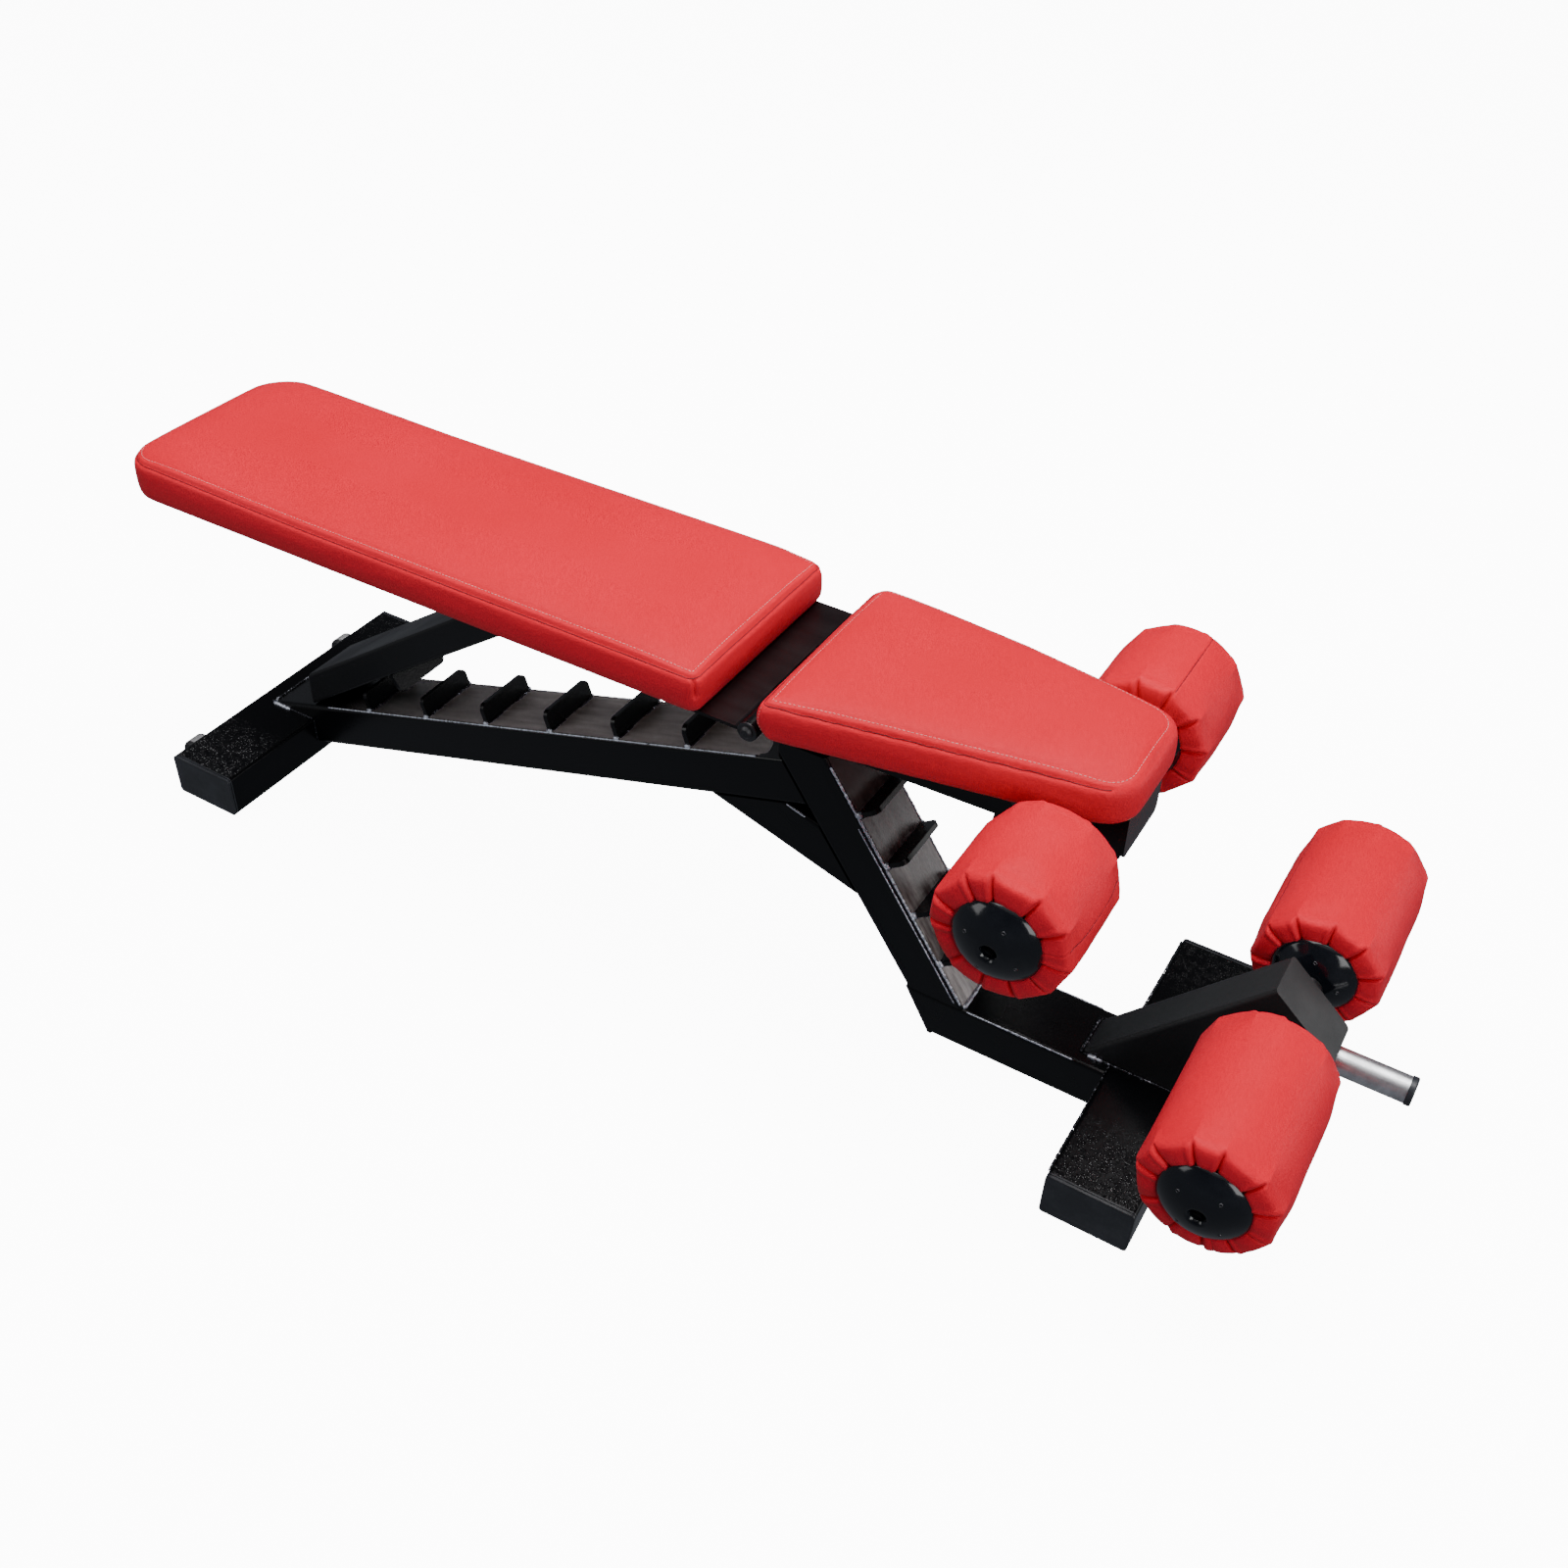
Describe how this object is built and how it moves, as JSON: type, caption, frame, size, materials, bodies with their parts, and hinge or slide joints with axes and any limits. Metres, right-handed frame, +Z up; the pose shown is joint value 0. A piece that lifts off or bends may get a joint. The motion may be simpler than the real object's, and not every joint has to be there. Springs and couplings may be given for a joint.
{
  "type": "decline sit up bench",
  "caption": "Low decline sit up bench with padded seat and back on a notched spine frame, two pairs of padded leg rollers, props under both pads and a carry handle.",
  "frame": {"origin": "on the floor under the middle of the bench", "axes": "+X towards the carry handle and leg rollers, +Y to the far side, +Z up"},
  "size_m": [1.6274, 0.5804, 0.4701],
  "materials": {
    "frame_paint": "gloss",
    "post_paint": "matte",
    "plate_paint": "satin",
    "red_vinyl": "satin",
    "plywood": "matte",
    "black_plastic": "satin",
    "gloss_disc": "gloss",
    "bare_steel": "brushed",
    "dark_steel": "satin",
    "zinc_screws": "satin",
    "foam_core": "matte",
    "grey_wheel": "matte"
  },
  "bodies": {
    "frame": {"rear_foot_tube": "frame_paint", "front_foot_tube": "frame_paint", "foot_end_caps": "black_plastic", "rear_spine_tube": "frame_paint", "steep_spine_tube": "frame_paint", "low_spine_tube": "frame_paint", "spine_end_plate": "frame_paint", "spine_brace_tube": "frame_paint", "back_ladder_stops": "frame_paint", "seat_ladder_stops": "frame_paint", "pivot_ears": "frame_paint", "pivot_axle": "dark_steel", "pivot_washers": "dark_steel", "pivot_screws": "zinc_screws", "front_post_tube": "post_paint", "post_end_plate": "post_paint", "handle_tube": "bare_steel", "handle_end_cap": "black_plastic", "lower_roller_axle": "dark_steel", "lower_axle_screws": "zinc_screws", "wheel_brackets": "frame_paint", "wheel_bolts": "zinc_screws", "wheel_nuts": "zinc_screws"},
    "backrest": {"back_pad": "red_vinyl", "back_board": "plywood", "back_rails": "frame_paint", "back_pad_screws": "zinc_screws", "back_hinge_sleeves": "frame_paint", "back_hinge_plate": "plate_paint", "back_prop_lugs": "frame_paint", "back_prop_pin": "dark_steel"},
    "back_prop": {"back_prop_tube": "frame_paint", "back_prop_bush": "dark_steel", "back_prop_lock_plate": "frame_paint"},
    "seat": {"seat_pad": "red_vinyl", "seat_board": "plywood", "seat_channel": "frame_paint", "seat_end_plate": "frame_paint", "seat_pad_screws": "zinc_screws", "seat_hinge_sleeve": "frame_paint", "seat_prop_pin": "dark_steel", "upper_roller_axle": "dark_steel", "upper_axle_screws": "zinc_screws"},
    "seat_prop": {"seat_prop_tube": "frame_paint", "seat_prop_bush": "dark_steel"},
    "lower_near_roller": {"lower_near_roller_pad": "red_vinyl", "lower_near_roller_core": "foam_core", "lower_near_roller_discs": "gloss_disc"},
    "lower_far_roller": {"lower_far_roller_pad": "red_vinyl", "lower_far_roller_core": "foam_core", "lower_far_roller_discs": "gloss_disc"},
    "upper_near_roller": {"upper_near_roller_pad": "red_vinyl", "upper_near_roller_core": "foam_core", "upper_near_roller_discs": "gloss_disc"},
    "upper_far_roller": {"upper_far_roller_pad": "red_vinyl", "upper_far_roller_core": "foam_core", "upper_far_roller_discs": "gloss_disc"},
    "near_transport_wheel": {"near_wheel": "grey_wheel"},
    "far_transport_wheel": {"far_wheel": "grey_wheel"}
  },
  "joints": [
    {"name": "backrest_hinge", "type": "hinge", "parent": "frame", "child": "backrest", "pos_m": [0.0885, 0, 0.4118], "axis": [0, 1, 0], "range_deg": [0, 75]},
    {"name": "back_prop_hinge", "type": "hinge", "parent": "backrest", "child": "back_prop", "pos_m": [-0.2471, 0, 0.3972], "axis": [0, -1, 0], "range_deg": [0, 108]},
    {"name": "seat_hinge", "type": "hinge", "parent": "frame", "child": "seat", "pos_m": [0.0885, 0, 0.4118], "axis": [0, -1, 0], "range_deg": [0, 18]},
    {"name": "seat_prop_hinge", "type": "hinge", "parent": "seat", "child": "seat_prop", "pos_m": [0.3627, 0, 0.386], "axis": [0, 1, 0], "range_deg": [0, 21.6]},
    {"name": "lower_near_roller_spin", "type": "hinge", "parent": "frame", "child": "lower_near_roller", "pos_m": [0.6797, -0.171, 0.2098], "axis": [0, 1, 0], "continuous": true},
    {"name": "lower_far_roller_spin", "type": "hinge", "parent": "frame", "child": "lower_far_roller", "pos_m": [0.6797, 0.171, 0.2098], "axis": [0, 1, 0], "continuous": true},
    {"name": "upper_near_roller_spin", "type": "hinge", "parent": "seat", "child": "upper_near_roller", "pos_m": [0.4319, -0.178, 0.3935], "axis": [0, 1, 0], "continuous": true},
    {"name": "upper_far_roller_spin", "type": "hinge", "parent": "seat", "child": "upper_far_roller", "pos_m": [0.4319, 0.178, 0.3935], "axis": [0, 1, 0], "continuous": true},
    {"name": "near_wheel_spin", "type": "hinge", "parent": "frame", "child": "near_transport_wheel", "pos_m": [-0.7761, -0.145, 0.0195], "axis": [0, 1, 0], "continuous": true},
    {"name": "far_wheel_spin", "type": "hinge", "parent": "frame", "child": "far_transport_wheel", "pos_m": [-0.7761, 0.145, 0.0195], "axis": [0, 1, 0], "continuous": true}
  ],
  "couplings": [
    {"joint": "back_prop_hinge", "follows": "backrest_hinge", "ratio": 1.44},
    {"joint": "seat_prop_hinge", "follows": "seat_hinge", "ratio": 1.2}
  ]
}
